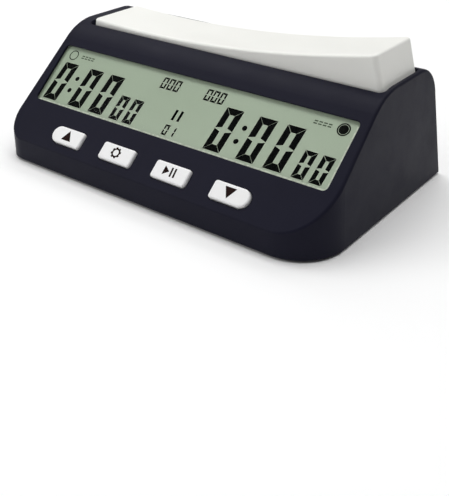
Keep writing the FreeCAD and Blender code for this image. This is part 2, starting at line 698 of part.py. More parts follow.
def housing_edges(sharp):
    """Round the creases of the panel and the rims of its openings."""
    document.recompute()
    normal = PANEL_TURN.multVec(UPRIGHT)
    on_panel = Vector(0, amount(FRONT), amount(EDGE + d.skirt_height))

    def is_panel(face):
        centre = face.CenterOfMass
        return (abs((centre - on_panel).dot(normal)) < NEAR
                and abs(abs(face.normalAt(0, 0).dot(normal)) - 1) < NEAR)

    panel = max((face for face in sharp.Shape.Faces if is_panel(face)), key=lambda face: face.Area)
    tangent_line = max(panel.OuterWire.Edges, key=lambda edge: middle_of(edge).z)
    crease = [edge for edge in panel.OuterWire.Edges if not edge.isSame(tangent_line)]
    rims = [edge for wire in panel.Wires if not wire.isSame(panel.OuterWire) for edge in wire.Edges]

    def is_well_rim(edge):
        point = middle_of(edge)
        centre = (d.well_right - d.well_left).value / 2
        along = abs(point.x - centre) - (d.well_right + d.well_left).value / 2
        across = abs(point.y - MIDDLE.value) - (d.well_back - d.well_front).value / 2
        corner = d.well_corner.value
        on_corner = math.hypot(along + corner, across + corner) - corner
        on_wall = min(abs(along), abs(across), abs(on_corner)) < NEAR
        level = point.z > amount(EDGE + d.well_rim) - d.rim_fall.value
        return level and max(along, across) < NEAR and on_wall and not runs_along(edge, UPRIGHT)

    return soften("upper_housing", sharp, [
        (d.well_round, is_well_rim),
        (d.edge_round, lambda edge: any(edge.isSame(other) for other in crease)),
        (d.mouth_round, lambda edge: any(edge.isSame(other) for other in rims))])


# ---------------------------------------------------------------- underside

def bottom_cover():
    gap = d.wall + d.cover_gap
    front = FRONT + gap
    back = BACK - d.wall / cosine(d.back_draft) - d.cover_thick * tangent(d.back_draft) - d.cover_gap
    long = d.housing_length - 2 * gap - 2 * d.cover_thick * tangent(d.side_draft)
    floor = new_body("cover_floor")
    rim = sketch_on(floor, "cover_rim", "XY_Plane", EDGE)
    rectangle(rim, -(long / 2), front, long, back - front)
    pad(floor, "cover_pad", rim, d.cover_thick)
    for side, radius in FRONT_CORNERS:
        sign = dict(SIDES)[side]
        round_edges(floor, f"cover_{side}_corner", radius - gap,
                    lambda edge: is_front_corner(edge, sign))
    round_edges(floor, "cover_rear_corners", d.cover_thick,
                lambda edge: runs_along(edge, UPRIGHT) and middle_of(edge).y > 0)
    bay_long = 2 * (d.bay_half + d.bay_wall)
    bay_wide = d.bay_back - d.bay_front + 2 * d.bay_wall
    bay = box("bay_walls", bay_long, bay_wide, d.bay_top + d.bay_wall)
    place(bay, -(bay_long / 2), d.bay_front - d.bay_wall, EDGE)
    bosses = screw_bosses("cover_boss", d.boss_radius, d.cover_thick / 2, d.boss_floor)
    solid = fuse("cover_solid", [floor, bay] + bosses)
    hollow = box("bay_hollow", 2 * d.bay_half, d.bay_back - d.bay_front, d.bay_top + d.overcut)
    place(hollow, -d.bay_half, d.bay_front, EDGE - d.overcut)
    tools = [hollow]
    for side, sign in SIDES:
        notch = box(f"tab_notch_{side}", d.tab_wide + 2 * d.cover_gap, 3 * d.bay_wall, d.tab_notch)
        place(notch, sign * d.tab_along - d.tab_wide / 2 - d.cover_gap, d.bay_back - d.bay_wall,
              EDGE + d.cover_thick)
        tools.append(notch)
        for row, back_row in (("front", -d.foot_front), ("rear", d.foot_rear)):
            seat = cylinder(f"foot_seat_{row}_{side}", d.foot_radius + d.screw_play,
                            d.foot_recess + d.overcut)
            tools.append(place(seat, sign * d.foot_inset_long, back_row, EDGE - d.overcut))
    tools += screw_bosses("cover_head", d.screw_head, -d.overcut, d.screw_seat, d.cover_gap)
    tools += screw_bosses("cover_shank", d.screw_radius, 0, d.boss_floor + d.overcut, d.cover_gap)
    slot_long = d.knob_long + d.knob_travel + 2 * d.cover_gap
    slot = box("knob_slot", slot_long, d.knob_wide + 2 * d.cover_gap, 2 * d.cover_thick)
    place(slot, d.knob_along - d.knob_long / 2 - d.cover_gap, d.knob_back - d.knob_wide / 2 - d.cover_gap,
          EDGE - d.cover_thick / 2)
    tools.append(slot)
    scoop = cylinder("door_scoop", d.scoop_radius, d.overcut)
    tools.append(place(scoop, 0, d.bay_front + d.scoop_back, EDGE - d.overcut + d.scoop_deep))
    return cut("bottom_cover", solid, tools)


def battery_door():
    gap = d.cover_gap
    long = 2 * (d.bay_half - gap)
    wide = d.bay_back - d.bay_front - 2 * gap
    panel = plate("door_panel", long, wide, d.door_thick, d.mouth_round)
    place(panel, 0, (d.bay_back + d.bay_front) / 2, EDGE)
    parts = [panel]
    for side, sign in SIDES:
        x = sign * d.tab_along - d.tab_wide / 2
        riser = box(f"tab_riser_{side}", d.tab_wide, d.bay_wall, d.tab_high - d.door_thick / 2)
        parts.append(place(riser, x, d.bay_back - gap - d.bay_wall, EDGE + d.door_thick / 2))
        hook = box(f"tab_hook_{side}", d.tab_wide, d.hook_long, d.hook_thick)
        parts.append(place(hook, x, d.bay_back - gap - d.bay_wall, EDGE + d.hook_rise))
    latch = box("door_latch", d.tab_wide, d.latch_thick, d.latch_high - d.door_thick / 2)
    parts.append(place(latch, -(d.tab_wide / 2), d.bay_front + d.latch_back, EDGE + d.door_thick / 2))
    nose = box("latch_nose", d.tab_wide, d.nose_long, d.nose_thick)
    parts.append(place(nose, -(d.tab_wide / 2), d.bay_front + d.nose_back, EDGE + d.nose_rise))
    solid = fuse("door_solid", parts)
    tools = []
    for index in range(GRIP_GROOVES):
        groove = box(f"door_groove_{index}", d.tab_wide * 2, d.grip_wide, 2 * d.grip_deep)
        place(groove, -d.tab_wide, d.bay_front + d.grip_back + d.grip_pitch * index, EDGE - d.grip_deep)
        tools.append(groove)
    return cut("battery_door", solid, tools)


def foot(name, sign, back):
    item = cylinder(name + "_blank", d.foot_radius, d.foot_proud + d.foot_recess)
    place(item, sign * d.foot_inset_long, back, 0)
    soft = document.addObject("Part::Fillet", name)
    soft.Base = item
    document.recompute()
    lower = [number for number, edge in enumerate(item.Shape.Edges, start=1)
             if abs(edge.BoundBox.ZMax) < NEAR]
    soft.Edges = [(number, d.foot_edge.value, d.foot_edge.value) for number in lower]
    return soft


def pan_screws(name, shank, shank_long, head, head_high, cross, put, spots):
    """Cross-recessed pan-head screws at the spots: head first, shank on along each one's local +Z."""
    cross_long, cross_wide = cross
    deep = head_high * RECESS_DEPTH
    parts = []
    for index, spot in enumerate(spots):
        profile = new_body(f"{name}_blank_{index}")
        half = sketch_on(profile, f"{name}_half_{index}", "XZ_Plane")
        outline(half, [(0, 0), (head * HEAD_FLAT, 0), (head, head_high * HEAD_RIM), (head, head_high),
                       (shank, head_high), (shank, head_high + shank_long - shank),
                       (shank * SCREW_TIP, head_high + shank_long), (0, head_high + shank_long)])
        turned = profile.newObject("PartDesign::Revolution", f"{name}_turned_{index}")
        turned.Profile = half
        turned.ReferenceAxis = (half, ["V_Axis"])
        turned.Angle = 360
        across = box(f"{name}_across_{index}", cross_long, cross_wide, 2 * deep)
        place(across, -(cross_long / 2), -(cross_wide / 2), -deep)
        down = box(f"{name}_down_{index}", cross_wide, cross_long, 2 * deep)
        place(down, -(cross_wide / 2), -(cross_long / 2), -deep)
        parts.append(put(cut(f"{name}_{index}", profile, [across, down]), *spot))
    return group(name, parts)


def housing_screws():
    seat = EDGE + d.screw_seat - d.screw_head_high
    spots = [(sign * d.boss_along, back, seat)
             for _side, sign in SIDES for back in (d.boss_front, d.boss_rear)]
    return pan_screws("housing_screws", d.screw_radius, d.screw_long, d.screw_head, d.screw_head_high,
                      (d.screw_cross, d.screw_cross_wide), place, spots)


def power_switch():
    middle = d.knob_along + d.knob_travel / 2
    shell = box("power_switch_shell", d.power_long, d.power_wide, d.power_high)
    place(shell, middle - d.power_long / 2, d.knob_back - d.power_wide / 2, EDGE + d.cover_thick)
    room = box("power_switch_room", d.power_room_long, d.power_room_wide, d.power_room_high + d.overcut)
    place(room, middle - d.power_room_long / 2, d.knob_back - d.power_room_wide / 2,
          EDGE + d.cover_thick - d.overcut)
    case = cut("power_switch", shell, [room])
    knob = box("knob_blank", d.knob_long, d.knob_wide, d.knob_high)
    place(knob, d.knob_along - d.knob_long / 2, d.knob_back - d.knob_wide / 2, EDGE - d.knob_proud)
    grooves = []
    for index in range(KNOB_GROOVES):
        groove = box(f"knob_groove_{index}", d.knob_groove, d.knob_wide * 2, 2 * d.knob_groove_deep)
        along = d.knob_along + (index - (KNOB_GROOVES - 1) / 2) * d.knob_groove_pitch
        grooves.append(place(groove, along - d.knob_groove / 2, d.knob_back - d.knob_wide,
                             EDGE - d.knob_proud - d.knob_groove_deep))
    return [case, cut("power_knob", knob, grooves)]


# ---------------------------------------------------------------- battery bay

def cell(name, back, sign):
    body = new_body(name)
    half = sketch_on(body, name + "_half", "XY_Plane")
    shoulder = d.cell_long - d.nub_long
    outline(half, [(0, 0), (0, d.cell_radius - d.cell_rim), (d.cell_rim, d.cell_radius),
                   (shoulder - d.cell_rim, d.cell_radius), (shoulder, d.cell_radius - d.cell_rim),
                   (shoulder, d.nub_radius), (d.cell_long, d.nub_radius),
                   (d.cell_long, 0)])
    turned = body.newObject("PartDesign::Revolution", name + "_turned")
    turned.Profile = half
    turned.ReferenceAxis = (half, ["H_Axis"])
    turned.Angle = 360
    start = sign * (d.bay_half - d.contact_thick - d.cell_long)
    turn = Rotation() if sign > 0 else Rotation(UPRIGHT, 180)
    return place(body, start, back, EDGE + d.cell_height, turn)


def battery_spring(name, back, sign):
    """Open coil spring between a contact and a cell's flat end."""
    long = d.cell_long - 2 * d.bay_half + 2 * d.contact_thick
    free = -amount(long) - 2 * d.spring_wire.value
    turns = d.spring_turns.value
    radius = d.spring_radius.value
    helix = Part.makeLongHelix(free / turns, free, radius)
    ring = Part.Wire(Part.makeCircle(d.spring_wire.value, Vector(radius, 0, 0), Vector(0, 1, 0)))
    item = document.addObject("Part::Feature", name)
    item.Shape = Part.Wire(helix).makePipeShell([ring], True, True)
    start = sign * (d.bay_half - d.contact_thick - d.spring_wire)
    return place(item, start, back, EDGE + d.cell_height, Rotation(Vector(0, 1, 0), -90 * sign))


def battery_contacts():
    high = d.bay_top - d.door_thick - 2 * d.contact_gap
    floor = EDGE + d.door_thick + d.contact_gap
    link = box("contact_link", d.contact_thick, d.cell_rear - d.cell_front + d.contact_wide, high)
    place(link, -d.bay_half, d.cell_front - d.contact_wide / 2, floor)
    plates = [link]
    for name, back in (("contact_positive", d.cell_front), ("contact_negative", d.cell_rear)):
        item = box(name, d.contact_thick, d.contact_wide, high)
        plates.append(place(item, d.bay_half - d.contact_thick, back - d.contact_wide / 2, floor))
    return plates


# ---------------------------------------------------------------- tilting bar

def bar():
    """The bar in its own frame, with its origin on the pivot, then tilted with its right end up."""
    body = new_body("rocker_bar_body")
    side = sketch_on(body, "bar_side", "XZ_Plane")
    outline(side, [(-d.bar_foot_left, -d.bar_below), (d.bar_foot_right, -d.bar_below),
                   (d.bar_top_right, d.bar_end_rise, d.bar_hollow), (-d.bar_top_left, d.bar_left_rise)])
    pad(body, "bar_block", side, d.bar_width, both_ways=True)
    round_edges(body, "bar_corners", d.bar_corner, lambda edge: runs_along(edge, UPRIGHT))
    round_edges(body, "bar_rim", d.bar_edge, lambda edge: middle_of(edge).z > d.bar_end_rise.value / 2)
    hollow = sketch_on(body, "bar_hollow_side", "XZ_Plane")
    lower = -(d.bar_below + d.overcut)
    dished = d.bar_hollow + d.bar_wall
    outline(hollow, [(d.bar_end_wall - d.bar_foot_left, lower), (d.bar_foot_right - d.bar_end_wall, lower),
                     (d.bar_top_right - d.bar_end_wall, d.bar_end_rise - d.bar_top_wall, dished),
                     (d.bar_end_wall - d.bar_top_left, d.bar_left_rise - d.bar_top_wall)])
    pocket(body, "bar_inside", hollow, d.bar_width - 2 * d.bar_wall, both_ways=True)
    ears = []
    for name, sign in (("front", -1), ("back", 1)):
        ear = cylinder(f"bar_ear_{name}", d.ear_radius, d.ear_long)
        start = -d.bar_width / 2 if sign < 0 else d.bar_width / 2 - d.ear_long
        ears.append(place(ear, 0, start, 0, ALONG_Y))
    finger = box("bar_finger", d.finger_thick, d.finger_wide, d.finger_drop + d.bar_end_rise / 2)
    place(finger, -(d.finger_thick / 2), -(d.finger_wide / 2), -d.finger_drop)
    hub = cylinder("bar_hub", d.ear_radius, d.finger_wide)
    place(hub, 0, -(d.finger_wide / 2), 0, ALONG_Y)
    web = box("bar_web", 2 * d.ear_radius, d.finger_wide, d.bar_end_rise / 2)
    place(web, -d.ear_radius, -(d.finger_wide / 2), 0)
    ribs = []
    for index, steps in enumerate(RIB_STEPS):
        x = d.rib_pitch * steps
        dish = (d.bar_top_right * d.bar_top_right - x * x) / (2 * d.bar_hollow)
        under_top = d.bar_end_rise - d.bar_wall / 2 - dish
        rib = box(f"bar_rib_{index}", d.rib_thick, d.bar_width - d.bar_wall, under_top - d.rib_low)
        ribs.append(place(rib, x - d.rib_thick / 2, -(d.bar_width - d.bar_wall) / 2, d.rib_low))
    solid = fuse("bar_solid", [body, finger, hub, web] + ears + ribs)
    bore = cylinder("bar_bore", d.shaft_radius + d.shaft_play, d.bar_width + 2 * d.overcut)
    place(bore, 0, -(d.bar_width / 2) - d.overcut, 0, ALONG_Y)
    item = cut("rocker_bar", solid, [bore])
    return place(item, 0, MIDDLE, EDGE + d.pivot_height, Rotation(Vector(0, 1, 0), -d.bar_tilt.value))


def pivot():
    long = d.well_back - d.well_front + 2 * (d.wall + d.shaft_past)
    shaft = cylinder("pivot_shaft_blank", d.shaft_radius, long)
    place(shaft, 0, MIDDLE - long / 2, EDGE + d.pivot_height, ALONG_Y)
    rings = []
    grooves = []
    tool_long = d.clip_thick + 2 * d.overcut
    for name, sign in (("front", -1), ("back", 1)):
        middle = MIDDLE + sign * ((d.well_back - d.well_front) / 2 + d.wall + d.clip_thick)
        outer = cylinder(f"clip_{name}", d.clip_radius, d.clip_thick)
        place(outer, 0, middle - d.clip_thick / 2, EDGE + d.pivot_height, ALONG_Y)
        inner = cylinder(f"clip_hole_{name}", d.clip_bore, tool_long)
        place(inner, 0, middle - tool_long / 2, EDGE + d.pivot_height, ALONG_Y)
        mouth = box(f"clip_mouth_{name}", d.clip_mouth, tool_long, d.clip_radius)
        place(mouth, -(d.clip_mouth / 2), middle - tool_long / 2, EDGE + d.pivot_height)
        rings.append(cut(f"clip_ring_{name}", outer, [inner, mouth]))
        land_long = d.clip_thick + d.groove_play
        land = cylinder(f"groove_land_{name}", d.shaft_radius + d.overcut, land_long)
        place(land, 0, middle - land_long / 2, EDGE + d.pivot_height, ALONG_Y)
        neck = cylinder(f"groove_neck_{name}", d.groove_radius, tool_long)
        place(neck, 0, middle - tool_long / 2, EDGE + d.pivot_height, ALONG_Y)
        grooves.append(cut(f"groove_{name}", land, [neck]))
    return [cut("pivot_shaft", shaft, grooves), group("shaft_clips", rings)]


def stop_pads():
    pads = []
    for side, sign in SIDES:
        item = box(f"stop_pad_{side}", d.pad_long, d.pad_wide, d.pad_thick)
        x = -d.bar_foot_left if sign < 0 else d.bar_foot_right - d.pad_long
        pads.append(place(item, x, MIDDLE - d.pad_wide / 2, EDGE + d.well_floor))
    return group("bar_stop_pads", pads)


# ---------------------------------------------------------------- sensing slide

def sensing_slide():
    top = EDGE + SENSOR_TOP
    board = box("sensor_board_blank", d.sensor_long, d.sensor_wide, d.board_thick)
    place(board, -(d.sensor_long / 2), MIDDLE - d.sensor_wide / 2, top - d.board_thick)
    holes = []
    for side, sign in SIDES:
        hole = cylinder(f"sensor_board_hole_{side}", d.small_screw + d.cover_gap / 2, 3 * d.board_thick)
        holes.append(place(hole, sign * d.sensor_along, MIDDLE, top - 2 * d.board_thick))
    board = cut("sensor_board", board, holes)
    case = box("sensor_switch_shell", d.case_long, d.case_wide, d.case_high)
    place(case, -(d.case_long / 2), MIDDLE - d.case_wide / 2, top)
    room = box("sensor_switch_room", d.case_room_long, d.case_room_wide, d.case_high)
    place(room, -(d.case_room_long / 2), MIDDLE - d.case_room_wide / 2, top + d.case_floor)
    case = cut("sensor_switch", case, [room])
    shift = d.fork_drop * sine(d.bar_tilt)
    slide_foot = box("slide_foot", d.slide_foot_long, d.slide_foot_wide, d.slide_foot_high)
    place(slide_foot, shift - d.slide_foot_long / 2, MIDDLE - d.slide_foot_wide / 2,
          top + d.slide_foot_rise)
    block = box("slide_block", d.slide_long, d.slide_wide, d.slide_high)
    place(block, shift - d.slide_long / 2, MIDDLE - d.slide_wide / 2, top + d.slide_rise)
    fork_long = d.finger_thick + 2 * d.fork_play
    fork_wide = d.slide_wide + d.overcut
    gap = box("slide_fork", fork_long, fork_wide, d.slide_high)
    place(gap, shift - fork_long / 2, MIDDLE - fork_wide / 2, top + d.fork_floor)
    slide = cut("sensor_slide", fuse("slide_solid", [slide_foot, block]), [gap])
    spots = [(sign * d.sensor_along, MIDDLE, top - d.board_thick - d.small_head_high)
             for _side, sign in SIDES]
    fixings = pan_screws("sensor_screws", d.small_screw, d.board_thick + d.sensor_thread, d.small_head,
                         d.small_head_high, (d.small_cross, d.small_cross_wide), place, spots)
    return [board, case, slide, fixings]


# ---------------------------------------------------------------- display

def display():
    window_wide = d.window_high - d.window_low
    window_up = (d.window_high + d.window_low) / 2
    lens = plate("display_window", 2 * (d.window_half + d.lens_margin), window_wide + 2 * d.lens_margin,
                 d.lens_thick, d.lens_corner)
    place_on_panel(lens, 0, window_up, -d.lip - d.lens_thick)
    glass_wide = d.glass_high - d.glass_low
    glass_up = (d.glass_high + d.glass_low) / 2
    front = box("lcd_front_glass", 2 * d.glass_half, glass_wide, d.glass_thick)
    place_on_panel(front, -d.glass_half, d.glass_low, -d.glass_depth - d.glass_thick)
    rear = box("lcd_rear_glass", 2 * d.glass_half, glass_wide, d.glass_thick)
    place_on_panel(rear, -d.glass_half, d.glass_low, -d.glass_depth - 2 * d.glass_thick)
    strip_room = d.zebra_wide + 4 * d.frame_gap
    reflector_wide = glass_wide - 2 * strip_room
    reflector = box("lcd_reflector", 2 * (d.glass_half - d.frame_gap), reflector_wide, d.reflector_thick)
    deck = d.glass_depth + 2 * d.glass_thick + d.reflector_thick
    place_on_panel(reflector, -(d.glass_half - d.frame_gap), glass_up - reflector_wide / 2, -deck)
    strips = []
    zebra_deep = d.board_depth - d.glass_depth - 2 * d.glass_thick
    for name, up in (("zebra_strip_lower", d.glass_low + 2 * d.frame_gap),
                     ("zebra_strip_upper", d.glass_high - 2 * d.frame_gap - d.zebra_wide)):
        strip = box(name, 2 * d.zebra_half, d.zebra_wide, zebra_deep)
        strips.append(place_on_panel(strip, -d.zebra_half, up, -d.board_depth))
    outer_long = 2 * (d.glass_half + d.frame_gap + d.frame_wall)
    outer_wide = glass_wide + 2 * (d.frame_gap + d.frame_wall)
    high = d.board_depth - d.wall - d.frame_clear
    blank = box("frame_blank", outer_long, outer_wide, high)
    place_on_panel(blank, -(outer_long / 2), glass_up - outer_wide / 2, -d.board_depth)
    tray_half = d.glass_half + d.frame_gap
    tray = box("frame_tray", 2 * tray_half, glass_wide + 2 * d.frame_gap, d.board_depth)
    place_on_panel(tray, -tray_half, glass_up - glass_wide / 2 - d.frame_gap, -deck)
    under_half = d.board_half - d.frame_ledge
    under = box("frame_under", 2 * under_half, reflector_wide - 2 * d.frame_ledge,
                d.board_depth + d.overcut - deck - d.frame_floor)
    place_on_panel(under, -under_half, glass_up - reflector_wide / 2 + d.frame_ledge,
                   -d.board_depth - d.overcut)
    slots = []
    for name, up in (("lower", d.glass_low + d.frame_gap),
                     ("upper", d.glass_high - 3 * d.frame_gap - d.zebra_wide)):
        slot = box(f"frame_slot_{name}", 2 * d.zebra_half + 2 * d.frame_gap, d.zebra_wide + 2 * d.frame_gap,
                   2 * d.board_depth)
        slots.append(place_on_panel(slot, -d.zebra_half - d.frame_gap, up, -2 * d.board_depth))
    frame = cut("lcd_frame", blank, [tray, under] + slots)
    return [lens, front, rear, reflector, frame] + strips


# ---------------------------------------------------------------- main board

def main_board():
    wide = d.board_high - d.board_low
    blank = box("main_board_blank", 2 * d.board_half, wide, d.board_thick)
    place_on_panel(blank, -d.board_half, d.board_low, -d.board_depth - d.board_thick)
    holes = []
    for index, along in enumerate(BOARD_SCREWS):
        hole = cylinder(f"main_board_hole_{index}", d.small_screw + d.cover_gap / 2, 3 * d.board_thick)
        holes.append(place_on_panel(hole, along, d.post_up, -d.board_depth - 2 * d.board_thick))
    board = cut("main_board", blank, holes)
    under = d.board_depth + d.board_thick
    chip = cylinder("controller_chip_drop", d.chip_radius, d.chip_thick)
    place_on_panel(chip, d.chip_along, d.chip_up, -under - d.chip_thick)
    chip_soft = document.addObject("Part::Fillet", "controller_chip")
    chip_soft.Base = chip
    document.recompute()
    low = [number for number, edge in enumerate(chip.Shape.Edges, start=1)
           if edge.Length > d.chip_radius.value and edge.CenterOfMass.z < chip.Shape.CenterOfMass.z]
    chip_soft.Edges = [(number, d.chip_edge.value, d.chip_edge.value) for number in low]
    crystal = box("quartz_crystal", d.crystal_long, d.crystal_side, d.crystal_side)
    place_on_panel(crystal, d.crystal_along, d.crystal_up, -under - d.crystal_side)
    cans = []
    for index in range(2):
        can = cylinder(f"capacitor_{index}", d.can_radius, d.can_long)
        cans.append(place_on_panel(can, -d.can_near - d.can_pitch * index, d.can_up, -under - d.can_long))
    buzzer_case = cylinder("buzzer_case", d.buzzer_radius, d.buzzer_thick)
    place_on_panel(buzzer_case, -d.buzzer_along, d.buzzer_up, -under - d.buzzer_thick)
    sound_hole = cylinder("buzzer_sound_hole", d.buzzer_hole, d.buzzer_hole + d.overcut)
    place_on_panel(sound_hole, -d.buzzer_along, d.buzzer_up, -under - d.buzzer_thick - d.overcut)
    buzzer = cut("buzzer", buzzer_case, [sound_hole])
    spots = [(along, d.post_up, -under - d.small_head_high) for along in BOARD_SCREWS]
    fixings = pan_screws("board_screws", d.small_screw, d.board_thick + d.board_thread, d.small_head,
                         d.small_head_high, (d.small_cross, d.small_cross_wide), place_on_panel, spots)
    return [board, chip_soft, crystal, group("smoothing_capacitors", cans), buzzer, fixings]


# ---------------------------------------------------------------- keys

def key(name, x):
    """Keycap in its own frame: origin on the panel's surface, Z out of the panel."""
    body = new_body(name + "cap")
    key_block(body, name, x, 0, d.wall + d.cover_gap, d.key_proud)
    round_edges(body, name + "_rim", d.key_edge,
                lambda edge: abs(middle_of(edge).z - d.key_proud.value) < NEAR)
    flange = sketch_on(body, name + "_flange", "XY_Plane", -(d.wall + d.cover_gap + d.flange_thick))
    rectangle(flange, -(d.key_long / 2) - d.flange_margin, -(d.key_wide / 2) - d.flange_margin,
              d.key_long + 2 * d.flange_margin, d.key_wide + 2 * d.flange_margin)
    pad(body, name + "_flange_pad", flange, d.flange_thick)
    stem = sketch_on(body, name + "_stem", "XY_Plane", -d.plunger_top)
    stem.addGeometry(Part.Circle(Vector(0, 0, 0), Vector(0, 0, 1), d.key_stem.value))
    stem.addConstraint(Sketcher.Constraint("Coincident", 0, 3, -1, 1))
    number = stem.addConstraint(Sketcher.Constraint("Radius", 0, d.key_stem.value))
    stem.setExpression(f"Constraints[{number}]", d.key_stem.text)
    pad(body, name + "_stem_pad", stem, d.plunger_top - d.wall - d.cover_gap - d.flange_thick / 2)
    return place_on_panel(body, x, d.key_up, 0)


def key_switch(name, x):
    case_high = d.board_depth - d.switch_top
    blank = box(name + "_switch_blank", d.switch_side, d.switch_side, case_high)
    place_on_panel(blank, x - d.switch_side / 2, d.key_up - d.switch_side / 2, -d.board_depth)
    room = cylinder(name + "_switch_room", d.plunger_radius + d.cover_gap / 2, case_high)
    place_on_panel(room, x, d.key_up, -d.board_depth + d.switch_floor)
    plunger = cylinder(name + "_plunger", d.plunger_radius, d.plunger_long)
    place_on_panel(plunger, x, d.key_up, -d.plunger_top - d.plunger_long)
    return [cut(name + "_switch", blank, [room]), plunger]


# ---------------------------------------------------------------- assembly

def build():
    parts = [housing_edges(upper_housing()), bottom_cover(), battery_door()]
    for side, sign in SIDES:
        parts.append(foot(f"foot_front_{side}", sign, -d.foot_front))
        parts.append(foot(f"foot_rear_{side}", sign, d.foot_rear))
    parts.append(housing_screws())
    parts += power_switch()
    parts.append(cell("battery_cell_front", d.cell_front, 1))
    parts.append(cell("battery_cell_rear", d.cell_rear, -1))
    parts.append(battery_spring("battery_spring_front", d.cell_front, -1))
    parts.append(battery_spring("battery_spring_rear", d.cell_rear, 1))
    parts += battery_contacts()
    parts.append(bar())
    parts += pivot()
    parts.append(stop_pads())
    parts += sensing_slide()
    parts += display()
    parts += main_board()
    for name, x in KEYS:
        parts.append(key(name, x))
        parts += key_switch(name, x)
    return parts


def check_document():
    """Stop if any object of the document failed to build."""
    failed = [item.Name for item in document.Objects if {"Invalid", "Error"} & set(item.State)]
    if failed:
        raise RuntimeError(f"these objects failed: {failed}")


def write(parts):
    os.makedirs("parts", exist_ok=True)
    for part in parts:
        if part.Shape.isNull() or not part.Shape.isValid():
            raise RuntimeError(f"{part.Label} has no valid shape")
        part.Shape.exportStep(f"parts/{part.Label}.step")


sub_parts = build()
document.recompute()
check_document()
write(sub_parts)
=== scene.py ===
"""The looks of a digital chess clock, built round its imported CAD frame. Lengths are in metres."""
import json
import math

import bmesh
import bpy
from mathutils import Matrix, Vector


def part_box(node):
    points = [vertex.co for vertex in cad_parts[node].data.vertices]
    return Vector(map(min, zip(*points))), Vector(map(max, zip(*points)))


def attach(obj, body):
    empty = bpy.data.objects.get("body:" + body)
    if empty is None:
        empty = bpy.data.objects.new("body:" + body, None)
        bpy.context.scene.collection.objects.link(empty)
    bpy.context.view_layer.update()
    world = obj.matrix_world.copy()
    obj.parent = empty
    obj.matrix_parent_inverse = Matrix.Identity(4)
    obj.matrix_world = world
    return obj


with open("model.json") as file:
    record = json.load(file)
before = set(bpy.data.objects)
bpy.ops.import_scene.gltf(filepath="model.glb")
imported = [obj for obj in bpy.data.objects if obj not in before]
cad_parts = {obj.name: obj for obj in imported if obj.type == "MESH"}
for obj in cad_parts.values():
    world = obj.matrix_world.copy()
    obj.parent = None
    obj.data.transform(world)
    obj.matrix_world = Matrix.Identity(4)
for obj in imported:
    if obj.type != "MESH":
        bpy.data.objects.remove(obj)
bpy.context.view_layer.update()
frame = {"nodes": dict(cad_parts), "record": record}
NODES = frame["nodes"]
MM = 0.001


# ---------------------------------------------------------------- colours and node helpers

def linear(red, green, blue):
    """A screen colour, 0 to 255, as the linear colour that a shader takes."""
    channels = []
    for value in (red, green, blue):
        share = value / 255
        channels.append(share / 12.92 if share <= 0.04045 else ((share + 0.055) / 1.055) ** 2.4)
    return (*channels, 1.0)


class Shader:
    """A material with a Principled shader and short calls for the nodes that feed it."""

    def __init__(self, name, colour, roughness, **sockets):
        self.material = bpy.data.materials.new(name)
        self.material.use_nodes = True
        self.material.diffuse_color = colour
        self.nodes = self.material.node_tree.nodes
        self.links = self.material.node_tree.links
        self.surface = self.nodes["Principled BSDF"]
        self.surface.inputs["Base Color"].default_value = colour
        self.surface.inputs["Roughness"].default_value = roughness
        for socket, value in sockets.items():
            self.surface.inputs[socket.replace("_", " ")].default_value = value
        self.place = self.nodes.new("ShaderNodeTexCoord").outputs["Object"]

    def stretch(self, scale, turn=(0, 0, 0)):
        """Object coordinates scaled by axis, for grain that runs one way."""
        node = self.nodes.new("ShaderNodeMapping")
        node.inputs["Scale"].default_value = scale
        node.inputs["Rotation"].default_value = turn
        self.links.new(self.place, node.inputs["Vector"])
        return node.outputs["Vector"]

    def noise(self, scale, detail=2.0, roughness=0.5, vector=None):
        node = self.nodes.new("ShaderNodeTexNoise")
        node.inputs["Scale"].default_value = scale
        node.inputs["Detail"].default_value = detail
        node.inputs["Roughness"].default_value = roughness
        self.links.new(vector or self.place, node.inputs["Vector"])
        return node.outputs["Fac"]

    def cells(self, scale, vector=None):
        node = self.nodes.new("ShaderNodeTexVoronoi")
        node.inputs["Scale"].default_value = scale
        self.links.new(vector or self.place, node.inputs["Vector"])
        return node.outputs["Distance"]

    def spread(self, factor, low, high, start=0.0, end=1.0):
        """Map a factor's range start to end onto low to high."""
        node = self.nodes.new("ShaderNodeMapRange")
        node.inputs["From Min"].default_value = start
        node.inputs["From Max"].default_value = end
        node.inputs["To Min"].default_value = low
        node.inputs["To Max"].default_value = high
        self.links.new(factor, node.inputs["Value"])
        return node.outputs["Result"]

    def blend(self, factor, first, second):
        """A colour between two, each a constant or a socket."""
        node = self.nodes.new("ShaderNodeMix")
        node.data_type = "RGBA"
        self.links.new(factor, node.inputs["Factor"])
        for socket, colour in (("A", first), ("B", second)):
            entry = [i for i in node.inputs if i.name == socket and i.type == "RGBA"][0]
            if isinstance(colour, tuple):
                entry.default_value = colour
            else:
                self.links.new(colour, entry)
        return [o for o in node.outputs if o.type == "RGBA"][0]

    def bump(self, height, distance, strength=1.0, before=None):
        node = self.nodes.new("ShaderNodeBump")
        node.inputs["Strength"].default_value = strength
        node.inputs["Distance"].default_value = distance
        self.links.new(height, node.inputs["Height"])
        if before is not None:
            self.links.new(before, node.inputs["Normal"])
        return node.outputs["Normal"]

    def along(self, axis):
        """The X, Y or Z of the object coordinates."""
        node = self.nodes.new("ShaderNodeSeparateXYZ")
        self.links.new(self.place, node.inputs["Vector"])
        return node.outputs[axis]

    def feed(self, socket, output):
        self.links.new(output, self.surface.inputs[socket])
        return self


def scaled(colour, share):
    return (*[channel * share for channel in colour[:3]], 1.0)


# ---------------------------------------------------------------- materials

CELL_REACH = 30 * MM
COLLAR_EDGE = (13.5 * MM, 13.7 * MM)
NUB_EDGE = (27.6 * MM, 27.7 * MM)
CREASE = math.radians(32)


